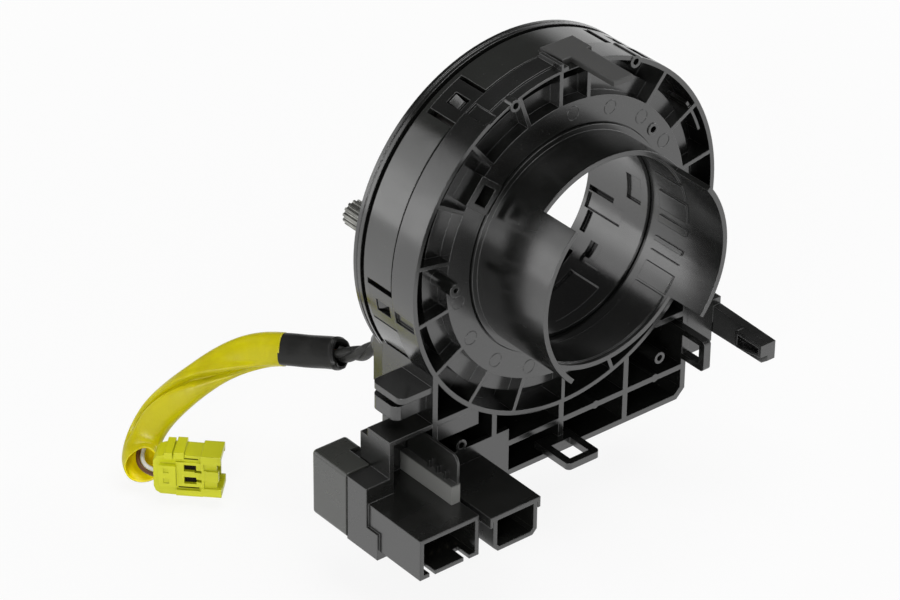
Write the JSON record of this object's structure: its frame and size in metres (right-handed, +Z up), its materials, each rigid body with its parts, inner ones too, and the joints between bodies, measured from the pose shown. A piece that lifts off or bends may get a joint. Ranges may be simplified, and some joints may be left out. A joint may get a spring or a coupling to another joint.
{
  "type": "steering clock spring",
  "caption": "Ring-shaped steering rotary connector: fixed ribbed case with collar, clips and sockets, turning disc with drive pin and an airbag lead with plug.",
  "frame": {"origin": "on the steering axis, in the wheel-side face of the rotor disc", "axes": "+Y along the steering axis towards the steering wheel, +Z up in the car, sockets at -Z, +X to the right as seen from the steering column"},
  "size_m": [0.1498, 0.1287, 0.1501],
  "materials": {
    "housing_black": "satin moulded",
    "case_black": "glossy moulded",
    "collar_black": "satin moulded",
    "rotor_black": "glossy moulded",
    "lug_matt": "matt moulded",
    "pin_metal": "satin",
    "socket_olive": "satin moulded",
    "terminal_metal": "tinned",
    "block_black": "matt moulded",
    "cable_film": "polyester film",
    "wire_black": "taped",
    "sleeve_black": "soft vinyl",
    "sleeve_yellow": "soft vinyl",
    "plug_yellow": "satin moulded"
  },
  "bodies": {
    "stator": {"column_housing": "housing_black", "outer_case": "case_black", "collar": "collar_black", "locating_lug": "lug_matt", "connector_block": "socket_olive", "connector_cover": "socket_olive", "small_socket": "socket_olive", "lock_lever": "socket_olive", "large_pins": "terminal_metal", "small_pins": "terminal_metal", "outer_lead_block": "block_black", "flat_cable": "cable_film"},
    "rotor": {"rotor_disc": "rotor_black", "rotor_sleeve": "rotor_black", "drive_pin": "pin_metal", "inner_lead_block": "block_black", "lead_gland": "block_black", "lead_bundle": "wire_black", "lead_wires": "wire_black", "black_sleeve": "sleeve_black", "yellow_sleeve": "sleeve_yellow", "plug_housing": "plug_yellow", "plug_terminals": "terminal_metal"}
  },
  "joints": [
    {"name": "rotor_turn", "type": "hinge", "parent": "stator", "child": "rotor", "pos_m": [0, 0, 0], "axis": [0, 1, 0], "range_deg": [-900, 900], "deforming": ["flat_cable"]}
  ]
}
